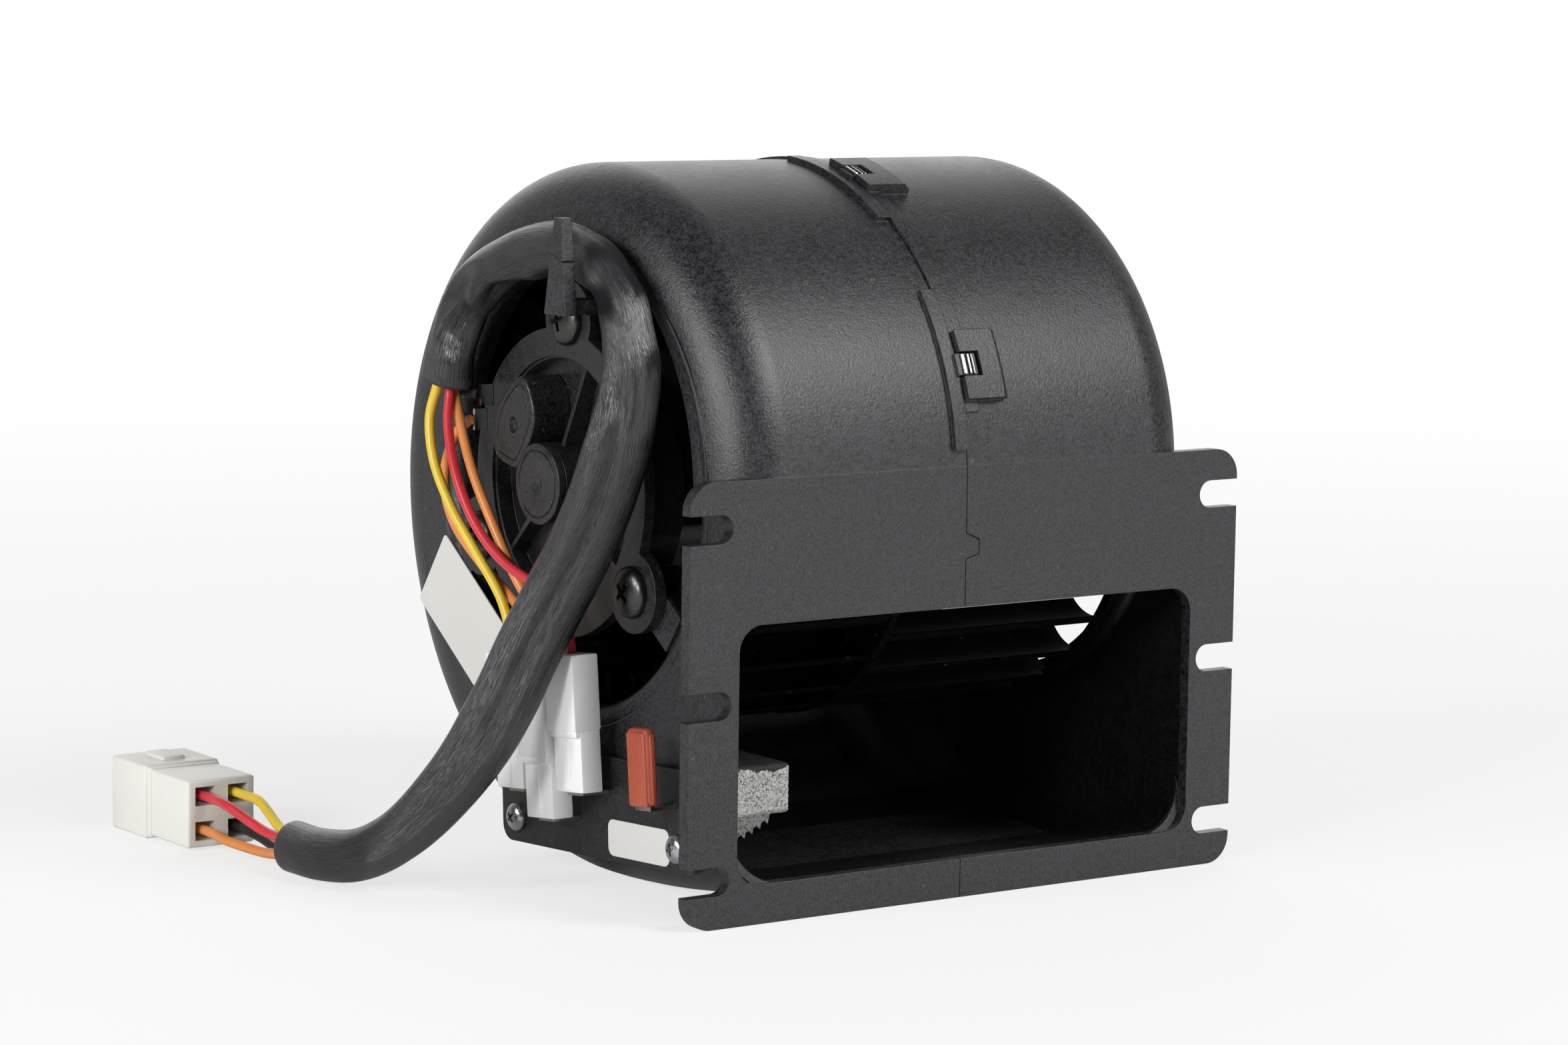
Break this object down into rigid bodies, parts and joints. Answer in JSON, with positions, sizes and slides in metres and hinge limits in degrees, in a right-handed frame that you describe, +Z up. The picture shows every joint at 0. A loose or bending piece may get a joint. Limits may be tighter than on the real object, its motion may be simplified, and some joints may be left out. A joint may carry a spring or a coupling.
{
  "type": "centrifugal blower fan",
  "caption": "Double-inlet centrifugal blower in a black scroll housing with a slotted outlet flange, a side-mounted direct-current motor, a resistor plate and a sleeved wiring harness.",
  "frame": {"origin": "on the outlet flange's front face, at its foot, halfway across its width", "axes": "+Z up the flange, -Y out of the outlet towards the duct the air is blown into, +X from the motor side to the free inlet side"},
  "size_m": [0.2085, 0.1767, 0.1676],
  "materials": {
    "housing_black": "satin, fine grain, injection-moulded talc-filled polypropylene",
    "wheel_black": "satin moulded polypropylene",
    "motor_frame_black": "satin moulded nylon",
    "shaft_steel": "ground steel",
    "case_zinc": "zinc-plated drawn steel",
    "screw_black": "black zinc, slightly glossy",
    "screw_zinc": "bright zinc",
    "terminal_tin": "tin-plated",
    "magnet_ferrite": "sintered ferrite",
    "core_steel": "stacked laminations",
    "copper_wire": "enamelled copper",
    "copper_bar": "turned copper",
    "carbon": "pressed carbon",
    "spring_steel": "spring wire",
    "card_brown": "laminated board",
    "bearing_bronze": "oil-filled sintered bronze",
    "plate_black": "satin phenolic moulding",
    "ceramic_grey": "granular fired ceramic",
    "coil_grey": "oxidised resistance wire on ceramic",
    "tab_brass": "plated brass",
    "fuse_red": "satin epoxy",
    "nylon_white": "moulded nylon",
    "label_white": "coated paper, left bare",
    "sleeve_black": "glossy soft vinyl tube",
    "wire_red": "vinyl insulation",
    "wire_yellow": "vinyl insulation",
    "wire_orange": "vinyl insulation",
    "wire_black": "vinyl insulation",
    "plug_ivory": "moulded nylon"
  },
  "bodies": {
    "housing": {"left_housing": "housing_black", "right_housing": "housing_black", "motor_end_frame": "motor_frame_black", "motor_case": "case_zinc", "brush_cover": "motor_frame_black", "bearing_cap": "motor_frame_black", "motor_screws": "screw_black", "motor_terminals": "terminal_tin", "magnets": "magnet_ferrite", "brushes": "carbon", "brush_springs": "spring_steel", "brush_card": "card_brown", "rear_bearing": "bearing_bronze", "front_bearing": "bearing_bronze", "resistor_plate": "plate_black", "resistor_block": "ceramic_grey", "resistor_coil": "coil_grey", "resistor_tabs": "tab_brass", "thermal_fuse": "fuse_red", "resistor_screws": "screw_zinc", "tab_housing_red": "nylon_white", "tab_housing_orange": "nylon_white", "tab_housing_yellow": "nylon_white", "side_label": "label_white", "resistor_label": "label_white", "harness_sleeve": "sleeve_black", "lead_red": "wire_red", "lead_yellow": "wire_yellow", "lead_orange": "wire_orange", "lead_motor_orange": "wire_orange", "lead_motor_black": "wire_black", "tail_red": "wire_red", "tail_yellow": "wire_yellow", "tail_orange": "wire_orange", "tail_black": "wire_black", "plug_housing": "plug_ivory", "plug_terminals": "terminal_tin"},
    "rotor": {"impeller": "wheel_black", "motor_shaft": "shaft_steel", "armature_core": "core_steel", "windings": "copper_wire", "commutator": "copper_bar", "shaft_clip": "spring_steel"}
  },
  "joints": [
    {"name": "wheel_spin", "type": "hinge", "parent": "housing", "child": "rotor", "pos_m": [0, 0.067, 0.093], "axis": [-1, 0, 0], "continuous": true}
  ]
}
